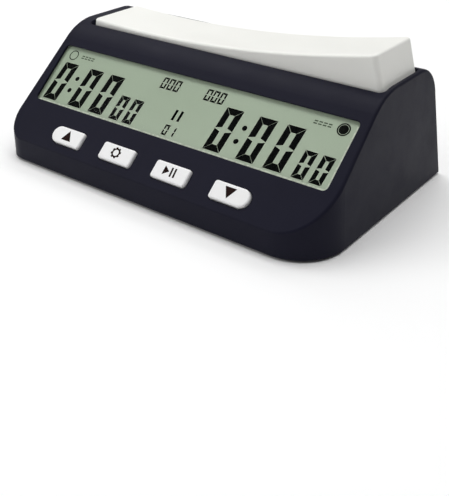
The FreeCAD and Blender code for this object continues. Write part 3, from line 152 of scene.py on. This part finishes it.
def moulded(name, colour, roughness, grain=2600.0, depth=0.02 * MM, mottle=0.06, **sockets):
    """Moulded plastic: a fine spark-eroded grain, a faint uneven colour and a patchy sheen."""
    shader = Shader(name, colour, roughness, **sockets)
    patches = shader.noise(34.0, 4.0, 0.6)
    shader.feed("Base Color", shader.blend(shader.spread(patches, 0.0, 1.0, 0.3, 0.7),
                                           scaled(colour, 1 - mottle), scaled(colour, 1 + mottle)))
    handling = shader.noise(90.0, 5.0, 0.65)
    shader.feed("Roughness", shader.spread(handling, roughness - 0.05, roughness + 0.07, 0.3, 0.7))
    fine = shader.bump(shader.noise(grain, 2.0, 0.6), depth, 0.5)
    shader.feed("Normal", shader.bump(shader.noise(22.0, 1.0), 0.05 * MM, 0.25, fine))
    return shader.material


def metal(name, colour, roughness, brushed=(60.0, 4000.0, 4000.0)):
    """Metal with fine lines along X."""
    shader = Shader(name, colour, roughness, Metallic=1.0)
    lines = shader.noise(1.0, 2.0, 0.5, shader.stretch(brushed))
    shader.feed("Roughness", shader.spread(lines, roughness - 0.08, roughness + 0.12, 0.3, 0.7))
    shader.feed("Normal", shader.bump(lines, 0.01 * MM, 0.4))
    return shader.material


def rubber(name, colour):
    shader = Shader(name, colour, 0.75)
    dust = shader.noise(160.0, 4.0, 0.7)
    shader.feed("Base Color", shader.blend(shader.spread(dust, 0.0, 1.0, 0.45, 0.8), colour,
                                           linear(58, 57, 56)))
    shader.feed("Normal", shader.bump(shader.noise(1800.0, 3.0, 0.7), 0.04 * MM, 0.7))
    return shader.material


def board_mask(name):
    """Green solder mask over faint copper tracks."""
    mask = linear(18, 84, 44)
    shader = Shader(name, mask, 0.32)
    tracks = shader.cells(420.0)
    shader.feed("Base Color", shader.blend(shader.spread(tracks, 0.0, 1.0, 0.30, 0.34), mask,
                                           linear(34, 116, 62)))
    shader.feed("Normal", shader.bump(tracks, 0.02 * MM, 0.4))
    return shader.material


def jacket(name, sign):
    """A cell's plain jacket: blue body, with a copper collar and bare nub at its sign end along X."""
    blue, copper, tin = linear(28, 62, 122), linear(176, 116, 72), linear(196, 196, 192)
    shader = Shader(name, blue, 0.28)
    edge = shader.spread(shader.along("X"), -sign * CELL_REACH, sign * CELL_REACH, -CELL_REACH, CELL_REACH)
    collar = shader.spread(edge, 0.0, 1.0, *COLLAR_EDGE)
    bare = shader.spread(edge, 0.0, 1.0, *NUB_EDGE)
    shader.feed("Base Color", shader.blend(bare, shader.blend(collar, blue, copper), tin))
    shader.feed("Metallic", bare)
    shader.feed("Roughness", shader.spread(shader.noise(70.0, 3.0), 0.22, 0.36, 0.3, 0.7))
    shader.feed("Normal", shader.bump(shader.noise(900.0, 2.0), 0.01 * MM, 0.4))
    return shader.material


def clear_window(name):
    """Thin clear plastic: it lets light straight through and takes a weak reflection."""
    material = bpy.data.materials.new(name)
    material.use_nodes = True
    nodes = material.node_tree.nodes
    links = material.node_tree.links
    nodes.remove(nodes["Principled BSDF"])
    through = nodes.new("ShaderNodeBsdfTransparent")
    through.inputs["Color"].default_value = (0.97, 0.985, 0.975, 1.0)
    gloss = nodes.new("ShaderNodeBsdfGlossy")
    gloss.inputs["Roughness"].default_value = 0.08
    gloss.inputs["Color"].default_value = (1.0, 1.0, 1.0, 1.0)
    rim = nodes.new("ShaderNodeFresnel")
    rim.inputs["IOR"].default_value = 1.06
    mix = nodes.new("ShaderNodeMixShader")
    links.new(rim.outputs["Fac"], mix.inputs["Fac"])
    links.new(through.outputs["BSDF"], mix.inputs[1])
    links.new(gloss.outputs["BSDF"], mix.inputs[2])
    links.new(mix.outputs["Shader"], nodes["Material Output"].inputs["Surface"])
    return material


def lcd_face(name):
    """The display's polariser: grey-green with slow patches and a fine diffusing grain, and a faint painted
    glow.
    """
    # The weak emission is painted light: a glow that lifts the shade cast by the panel's lip on the glass.
    shader = Shader(name, linear(166, 178, 156), 0.42, Emission_Strength=0.07)
    shader.surface.inputs["Emission Color"].default_value = linear(166, 174, 160)
    soft = shader.noise(14.0, 1.0)
    shader.feed("Base Color", shader.blend(shader.spread(soft, 0.0, 1.0, 0.35, 0.65),
                                           linear(156, 167, 147), linear(165, 175, 156)))
    shader.feed("Normal", shader.bump(shader.noise(5200.0, 1.0), 0.006 * MM, 0.4))
    return shader.material


def ink_and_painted_highlight(name, colour, roughness=0.4):
    """A printed or energised film with a slight unevenness; it also gives the flat pale tone of the painted
    highlight on the window's edge.
    """
    shader = Shader(name, colour, roughness, Specular_IOR_Level=0.03)
    uneven = shader.noise(700.0, 2.0)
    shader.feed("Base Color", shader.blend(shader.spread(uneven, 0.0, 1.0, 0.35, 0.65), scaled(colour, 0.85),
                                           scaled(colour, 1.2)))
    shader.feed("Roughness", shader.spread(uneven, roughness - 0.05, roughness + 0.08))
    return shader.material


HOUSING = moulded("housing_plastic", linear(27, 27, 40), 0.40, Specular_IOR_Level=0.065)
COVER = moulded("cover_plastic", linear(26, 26, 38), 0.55, grain=1500.0, depth=0.04 * MM,
                Specular_IOR_Level=0.10)
WHITE = moulded("bar_plastic", linear(238, 238, 233), 0.38, grain=3000.0, depth=0.008 * MM, mottle=0.01)
KEYS = moulded("key_plastic", linear(240, 240, 240), 0.34, grain=3000.0, depth=0.008 * MM, mottle=0.01)
FINISHES = {
    "housing_plastic": HOUSING,
    "cover_plastic": COVER,
    "bar_plastic": WHITE,
    "key_plastic": KEYS,
    "foot_rubber": rubber("foot_rubber", linear(26, 26, 27)),
    "clear_window": clear_window("clear_window"),
    "lcd_glass": lcd_face("lcd_glass"),
    "lcd_back": metal("lcd_back", linear(190, 194, 190), 0.45),
    "frame_plastic": moulded("frame_plastic", linear(44, 44, 47), 0.5),
    "zebra_rubber": rubber("zebra_rubber", linear(150, 140, 148)),
    "board": board_mask("board"),
    "chip_epoxy": moulded("chip_epoxy", linear(20, 20, 22), 0.25, grain=900.0),
    "component_can": metal("component_can", linear(196, 196, 200), 0.3),
    "switch_plastic": moulded("switch_plastic", linear(42, 42, 42), 0.5),
    "plunger_plastic": moulded("plunger_plastic", linear(140, 60, 52), 0.45),
    "steel": metal("steel", linear(190, 190, 194), 0.28, (4000.0, 60.0, 4000.0)),
    "screw_steel": metal("screw_steel", linear(172, 172, 176), 0.34),
    "contact_metal": metal("contact_metal", linear(206, 204, 198), 0.22),
    "cell_jacket": jacket("cell_jacket", 1),
    "foam": rubber("foam", linear(48, 48, 50)),
}
TURNED_CELL = jacket("turned_cell_jacket", -1)


def finish_cad_nodes():
    """Give every CAD node the finish of its slot, and smooth its round faces."""
    for row in frame["record"]["subparts"]:
        node = NODES[row["node"]]
        node.data.materials.clear()
        turned = row["node"] == "battery_cell_rear"
        node.data.materials.append(TURNED_CELL if turned else FINISHES[row["material_slot"]])
        node.data.shade_smooth()
        node.data.set_sharp_from_angle(angle=CREASE)


finish_cad_nodes()


# ---------------------------------------------------------------- the panel's own axes

class Panel:
    """The slanted panel's directions, read from the display glass, and points given on it in mm."""

    def __init__(self):
        glass = NODES["lcd_front_glass"].data
        face = max((p for p in glass.polygons if p.normal.z > 0.1), key=lambda p: p.area)
        self.out = face.normal.copy()
        self.up = Vector((1, 0, 0)).cross(self.out) * -1
        corners = [v.co for v in glass.vertices]
        self.low = min(corner.dot(self.up) for corner in corners)
        self.top = max(corner.dot(self.out) for corner in corners)

    def point(self, x, up, proud):
        """x and up in mm, up from the glass's lower edge; proud in metres above the glass."""
        return (Vector((x * MM, 0, 0)) + self.up * (self.low + up * MM)
                + self.out * (self.top + proud))

    def extent(self, node, axis):
        values = [v.co.dot(axis) for v in NODES[node].data.vertices]
        return min(values), max(values)


PANEL = Panel()


# ---------------------------------------------------------------- mesh helpers

def piece(name, mesh, material, body):
    """A finished piece that rides on a body."""
    mesh.materials.append(material)
    made = bpy.data.objects.new(name, mesh)
    bpy.context.scene.collection.objects.link(made)
    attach(made, body)
    return made


def slabs(name, outlines, place, thick):
    """Flat shapes with a real thickness: outlines in mm on a plane, place(x, y, rise) gives the point."""
    shape = bmesh.new()
    for outline in outlines:
        lower = [shape.verts.new(place(x, y, 0.0)) for x, y in outline]
        upper = [shape.verts.new(place(x, y, thick)) for x, y in outline]
        shape.faces.new(upper)
        shape.faces.new(list(reversed(lower)))
        for index in range(len(outline)):
            after = (index + 1) % len(outline)
            shape.faces.new([lower[index], lower[after], upper[after], upper[index]])
    bmesh.ops.recalc_face_normals(shape, faces=shape.faces)
    mesh = bpy.data.meshes.new(name)
    shape.to_mesh(mesh)
    shape.free()
    return mesh


def disc(x, y, radius, count=40):
    return [(x + radius * math.cos(2 * math.pi * i / count), y + radius * math.sin(2 * math.pi * i / count))
            for i in range(count)]


def ring(x, y, outer, inner, count=48):
    """A ring as short closed wedges, so that each outline is simple."""
    pieces = []
    for i in range(count):
        a, b = 2 * math.pi * i / count, 2 * math.pi * (i + 1) / count
        pieces.append([(x + outer * math.cos(a), y + outer * math.sin(a)),
                       (x + outer * math.cos(b), y + outer * math.sin(b)),
                       (x + inner * math.cos(b), y + inner * math.sin(b)),
                       (x + inner * math.cos(a), y + inner * math.sin(a))])
    return pieces


def grown(outline, distance):
    """A convex outline moved outwards by a distance, with mitred corners."""
    count = len(outline)
    area = sum(outline[i][0] * outline[(i + 1) % count][1] - outline[(i + 1) % count][0] * outline[i][1]
               for i in range(count))
    sign = 1 if area > 0 else -1
    moved = []
    for i in range(count):
        before, here, after = Vector(outline[i - 1]), Vector(outline[i]), Vector(outline[(i + 1) % count])
        first, second = (here - before).normalized(), (after - here).normalized()
        a = Vector((first.y, -first.x)) * sign
        b = Vector((second.y, -second.x)) * sign
        middle = (a + b).normalized()
        moved.append(tuple(here + middle * (distance / max(0.4, middle.dot(a)))))
    return moved


# ---------------------------------------------------------------- what the display shows

# Each player's time starts at one of these places along the glass, in mm, and both are laid out alike.
CLOCK_STARTS = (-74.6, 18.7)
CLOCK_LEANS = (5.0, 4.0)
HOURS_AND_MINUTES = (0.0, 16.0, 28.8)
SECONDS = (41.5, 49.2)
COLON = ((13.4, 16.2), (12.7, 10.0))
COLON_DOT = 1.15
# Figures, as height of their foot on the glass, width, height, stroke and, where it is shared, lean.
BIG_FIGURE = (3.2, 8.3, 19.6, 2.9)
SECONDS_FIGURE = (3.1, 5.3, 11.8, 1.9, 3.6)
COUNT_FIGURE = (22.9, 2.8, 5.4, 0.82, 3.0)
ROUND_FIGURE = (3.4, 2.5, 4.9, 0.78, 3.0)
FINE_GAP = 0.14
COUNT_STARTS = (-16.4, 7.1)
COUNT_PITCH = 3.5
PAUSE_BARS = (-2.4, 0.5)
ROUND_TENS = -3.4
ROUND_UNITS = 0.2
LEFT_RING = (-70.9, 26.9)
RIGHT_RING = (71.0, 26.6)
# Each plain row of strokes in place of a word: where it starts, and its height on the glass.
STROKE_ROWS = ((58.2, 25.9), (-65.9, 26.3))
STROKES = 4
STROKE_PITCH = 2.05
HALO = 0.26
FILM = 0.03 * MM


def segment_digit(x, y, wide, high, stroke, lean, shown="abcdef", gap=0.3):
    """The lit bars of a seven-bar figure whose lower left corner is at x, y; lean is in degrees."""
    half = high / 2
    g = gap / 2
    inner = stroke
    slant = math.tan(math.radians(lean))
    bars = {
        "a": [(g, high), (wide - g, high), (wide - inner - g, high - inner), (inner + g, high - inner)],
        "d": [(g, 0), (inner + g, inner), (wide - inner - g, inner), (wide - g, 0)],
        "f": [(0, high - g), (inner, high - inner - g), (inner, half + inner * 0.3 + g), (0, half + g)],
        "e": [(0, g), (0, half - g), (inner, half - inner * 0.3 - g), (inner, inner + g)],
        "b": [(wide, high - g), (wide, half + g), (wide - inner, half + inner * 0.3 + g),
              (wide - inner, high - inner - g)],
        "c": [(wide, g), (wide - inner, inner + g), (wide - inner, half - inner * 0.3 - g),
              (wide, half - g)],
    }
    return [[(x + u + slant * v, y + v) for u, v in bars[name]] for name in shown]


def display_shapes():
    """Everything the display shows, in mm on the glass: lit shapes, and fainter printed ones."""
    lit = []
    for start, lean in zip(CLOCK_STARTS, CLOCK_LEANS):
        for step in HOURS_AND_MINUTES:
            lit += segment_digit(start + step, *BIG_FIGURE, lean)
        for step in SECONDS:
            lit += segment_digit(start + step, *SECONDS_FIGURE)
        for step, y in COLON:
            lit.append(disc(start + step, y, COLON_DOT))
    for start in COUNT_STARTS:
        for index in range(3):
            lit += segment_digit(start + COUNT_PITCH * index, *COUNT_FIGURE, gap=FINE_GAP)
    for x in PAUSE_BARS:
        lit.append([(x, 10.6), (x + 1.3, 10.6), (x + 1.5, 15.6), (x + 0.2, 15.6)])
    lit += segment_digit(ROUND_TENS, *ROUND_FIGURE, gap=FINE_GAP)
    lit += segment_digit(ROUND_UNITS, *ROUND_FIGURE, "bc", gap=FINE_GAP)
    thin = [disc(*RIGHT_RING, 1.95)] + ring(*LEFT_RING, 2.55, 2.1) + ring(*RIGHT_RING, 2.7, 2.15)
    faint = []
    for start, rise in STROKE_ROWS:
        for index in range(STROKES):
            x = start + STROKE_PITCH * index
            for up, past in ((0.0, 0.0), (1.05, 0.1)):
                faint.append([(x + past, rise + up), (x + past + 1.5, rise + up),
                              (x + past + 1.55, rise + up + 0.5), (x + past + 0.05, rise + up + 0.5)])
    return lit, thin, faint


def make_display():
    lit, thin, faint = display_shapes()

    def on_glass(x, y, rise):
        return PANEL.point(x, y, 0.012 * MM + rise)

    def under(x, y, rise):
        return PANEL.point(x, y, rise * 0.2)

    black = ink_and_painted_highlight("lcd_ink", linear(3, 4, 4), 0.5)
    grey = ink_and_painted_highlight("lcd_thin_ink", linear(12, 14, 12), 0.5)
    pale = ink_and_painted_highlight("lcd_faint_ink", linear(72, 80, 68), 0.45)
    halo = ink_and_painted_highlight("lcd_halo", linear(186, 192, 176), 0.45)
    piece("lcd_figures", slabs("lcd_figures", lit, on_glass, FILM), black, "housing")
    piece("lcd_rings", slabs("lcd_rings", thin, on_glass, FILM), grey, "housing")
    piece("lcd_marks", slabs("lcd_marks", faint, on_glass, FILM), pale, "housing")
    piece("lcd_figure_edges", slabs("lcd_figure_edges", [grown(o, HALO) for o in lit], under, FILM),
          halo, "housing")


make_display()


# ---------------------------------------------------------------- the window's edge, with a painted highlight

LENS_MARGIN = 1.6
LENS_CORNER = 2.0
# Width in mm of the painted highlight strip along the window's edge.
HIGHLIGHT_WIDTH = 0.8


def rounded(half, low, high, radius, steps=8):
    """A rounded rectangle's points in mm, from the left end of its lower side, anticlockwise."""
    points = []
    for x, y, start in ((half - radius, low + radius, -90), (half - radius, high - radius, 0),
                        (radius - half, high - radius, 90), (radius - half, low + radius, 180)):
        for step in range(steps + 1):
            angle = math.radians(start + 90 * step / steps)
            points.append((x + radius * math.cos(angle), y + radius * math.sin(angle)))
    return points


def make_window_edge_highlight():
    """A pale strip of painted highlight for the clear window's bevelled edge, along the lower and right
    sides of its opening.
    """
    window = PANEL.extent("display_window", PANEL.up)
    face = PANEL.extent("display_window", PANEL.out)[1] - PANEL.top
    low = (window[0] - PANEL.low) / MM + LENS_MARGIN
    high = (window[1] - PANEL.low) / MM - LENS_MARGIN
    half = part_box("display_window")[1].x / MM - LENS_MARGIN
    outer = rounded(half, low, high, LENS_CORNER)
    inner = rounded(half - HIGHLIGHT_WIDTH, low + HIGHLIGHT_WIDTH, high - HIGHLIGHT_WIDTH, LENS_CORNER - HIGHLIGHT_WIDTH)
    strips = []
    for index in range(len(outer)):
        after = (index + 1) % len(outer)
        strip = [outer[index], outer[after], inner[after], inner[index]]
        if min(y for _x, y in strip) < high - 3 * HIGHLIGHT_WIDTH and max(x for x, _y in strip) > 3 * HIGHLIGHT_WIDTH - half:
            strips.append(strip)
    # The strip's pale tone is a painted highlight, where light catches the window's bevelled edge.
    highlight_tone = ink_and_painted_highlight("window_edge_painted_highlight", linear(184, 192, 176), 0.3)
    piece("window_edge_painted_highlight", slabs("window_edge_painted_highlight", strips, lambda x, y, rise: PANEL.point(x, y, face + rise),
                                FILM), highlight_tone, "housing")


make_window_edge_highlight()


# ---------------------------------------------------------------- what the keys show

PAUSE_LEAN = 0.3


def gear(x, y, teeth=8, outer=2.55, root=2.15, hole=1.4):
    """A small gear wheel as wedges from its hole to its rim."""
    parts = []
    steps = teeth * 4
    for i in range(steps):
        a, b = 2 * math.pi * i / steps, 2 * math.pi * (i + 1) / steps
        rim = outer if i % 4 in (0, 1) else root
        parts.append([(x + reach * math.cos(angle), y + reach * math.sin(angle))
                      for reach, angle in ((rim, a), (rim, b), (hole, b), (hole, a))])
    return parts


def arrow(x, y, wide, high):
    """A triangle with its flat side's middle at x, y; a negative height points it downwards."""
    outline = [(x - wide / 2, y), (x + wide / 2, y), (x, y + high)]
    return [outline if high > 0 else outline[::-1]]


def play_and_pause(foot, high, wide):
    """A play arrow and two slightly leaning pause bars."""
    shapes = [[(-3.3, foot), (-0.5, foot + high / 2), (-3.3, foot + high)]]
    for x in (0.3, 2.0):
        shapes.append([(x, foot), (x + wide, foot), (x + wide - PAUSE_LEAN, foot + high),
                       (x - PAUSE_LEAN, foot + high)])
    return shapes


KEY_MARKS = {
    "up_key": arrow(0.5, -2.0, 5.5, 4.8),
    "settings_key": gear(-0.3, 0.3),
    "play_pause_key": play_and_pause(-1.7, 4.0, 0.85),
    "down_key": arrow(-0.5, 2.5, 5.3, -4.7),
}


def make_key_marks():
    print_ink = ink_and_painted_highlight("key_print", linear(34, 20, 18), 0.4)
    for body, outlines in KEY_MARKS.items():
        cap = body + "cap"
        low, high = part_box(cap)
        across = (low.x + high.x) / 2
        bottom, top = PANEL.extent(cap, PANEL.up)
        face = PANEL.extent(cap, PANEL.out)[1]

        def on_cap(x, y, rise):
            return (Vector((across + x * MM, 0, 0)) + PANEL.up * ((bottom + top) / 2 + y * MM)
                    + PANEL.out * (face + rise - 0.004 * MM))

        printed = slabs(body + "_print", outlines, on_cap, FILM)
        piece(body + "_print", printed, print_ink, body)


make_key_marks()


# ---------------------------------------------------------------- the marks by the power switch

MARK_HALF = 1.4
RING_AWAY = 6.0
BAR_NEAR = 9.0
BAR_FAR = 9.5


def make_power_marks():
    """A plain bar and a plain ring on the bottom cover, either side of the power switch's knob."""
    low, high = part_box("power_knob")
    along, back = (low.x + high.x) / 2 / MM, (low.y + high.y) / 2 / MM
    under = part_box("bottom_cover")[0].z

    def below(x, y, rise):
        return Vector((x * MM, y * MM, under - rise))

    bar = [(along + BAR_NEAR, back - MARK_HALF), (along + BAR_FAR, back - MARK_HALF),
           (along + BAR_FAR, back + MARK_HALF), (along + BAR_NEAR, back + MARK_HALF)]
    outlines = [bar] + ring(along - RING_AWAY, back, MARK_HALF, 0.95)
    marks = slabs("power_marks", outlines, below, 0.04 * MM)
    piece("power_marks", marks, ink_and_painted_highlight("power_print", linear(188, 188, 184), 0.5), "housing")


make_power_marks()


# ---------------------------------------------------------------- stage, light and camera

FLOOR_SIZE = 6.0
FLOOR_BELOW = 0.0001


def make_stage():
    bpy.ops.mesh.primitive_plane_add(size=FLOOR_SIZE, location=(0, 0, -FLOOR_BELOW))
    floor = bpy.context.object
    floor.name = "floor"
    shader = Shader("floor", linear(250, 250, 250), 0.6)
    floor.data.materials.append(shader.material)


def area_light(name, energy, long, wide, place, aim):
    """A soft box, long along X and wide across, turned towards a point."""
    data = bpy.data.lights.new(name, "AREA")
    data.energy = energy
    data.shape = "RECTANGLE"
    data.size = long
    data.size_y = wide
    light = bpy.data.objects.new(name, data)
    light.location = place
    light.rotation_euler = (Vector(aim) - Vector(place)).to_track_quat("-Z", "Y").to_euler()
    bpy.context.scene.collection.objects.link(light)


def make_light():
    scene = bpy.context.scene
    world = bpy.data.worlds.new("studio")
    world.use_nodes = True
    world.node_tree.nodes["Background"].inputs["Color"].default_value = (1, 1, 1, 1)
    world.node_tree.nodes["Background"].inputs["Strength"].default_value = 0.15
    scene.world = world
    area_light("overhead", 14.2, 2.2, 0.6, (-0.2, 0.1, 1.2), (-0.2, 0, 0))
    area_light("behind", 6.4, 2.2, 0.6, (-0.2, 0.9, 0.95), (-0.2, 0, 0))
    area_light("front_left", 5.2, 0.9, 0.9, (-0.75, -0.8, 0.65), (0, 0, 0.02))
    scene.view_settings.view_transform = "Standard"
    scene.view_settings.look = "None"


CAMERA_AZIMUTH = math.radians(37.611)
CAMERA_ELEVATION = math.radians(31.631)
CAMERA_ROLL = math.radians(-0.196)
CAMERA_PLACE = Vector((0.19839, -0.25203, 0.15255))
CAMERA_LENS = 56.79
SENSOR_WIDTH = 36.0


def make_camera():
    data = bpy.data.cameras.new("camera")
    data.lens = CAMERA_LENS
    data.sensor_width = SENSOR_WIDTH
    data.clip_start = 0.01
    camera = bpy.data.objects.new("camera", data)
    back = Vector((math.sin(CAMERA_AZIMUTH) * math.cos(CAMERA_ELEVATION),
                   -math.cos(CAMERA_AZIMUTH) * math.cos(CAMERA_ELEVATION), math.sin(CAMERA_ELEVATION)))
    level = Vector((0, 0, 1)).cross(back).normalized()
    over = back.cross(level)
    right = level * math.cos(CAMERA_ROLL) + over * math.sin(CAMERA_ROLL)
    up = over * math.cos(CAMERA_ROLL) - level * math.sin(CAMERA_ROLL)
    turn = Matrix((right, up, back)).transposed().to_4x4()
    camera.matrix_world = Matrix.Translation(CAMERA_PLACE) @ turn
    bpy.context.scene.collection.objects.link(camera)
    bpy.context.scene.camera = camera


make_stage()
make_light()
make_camera()
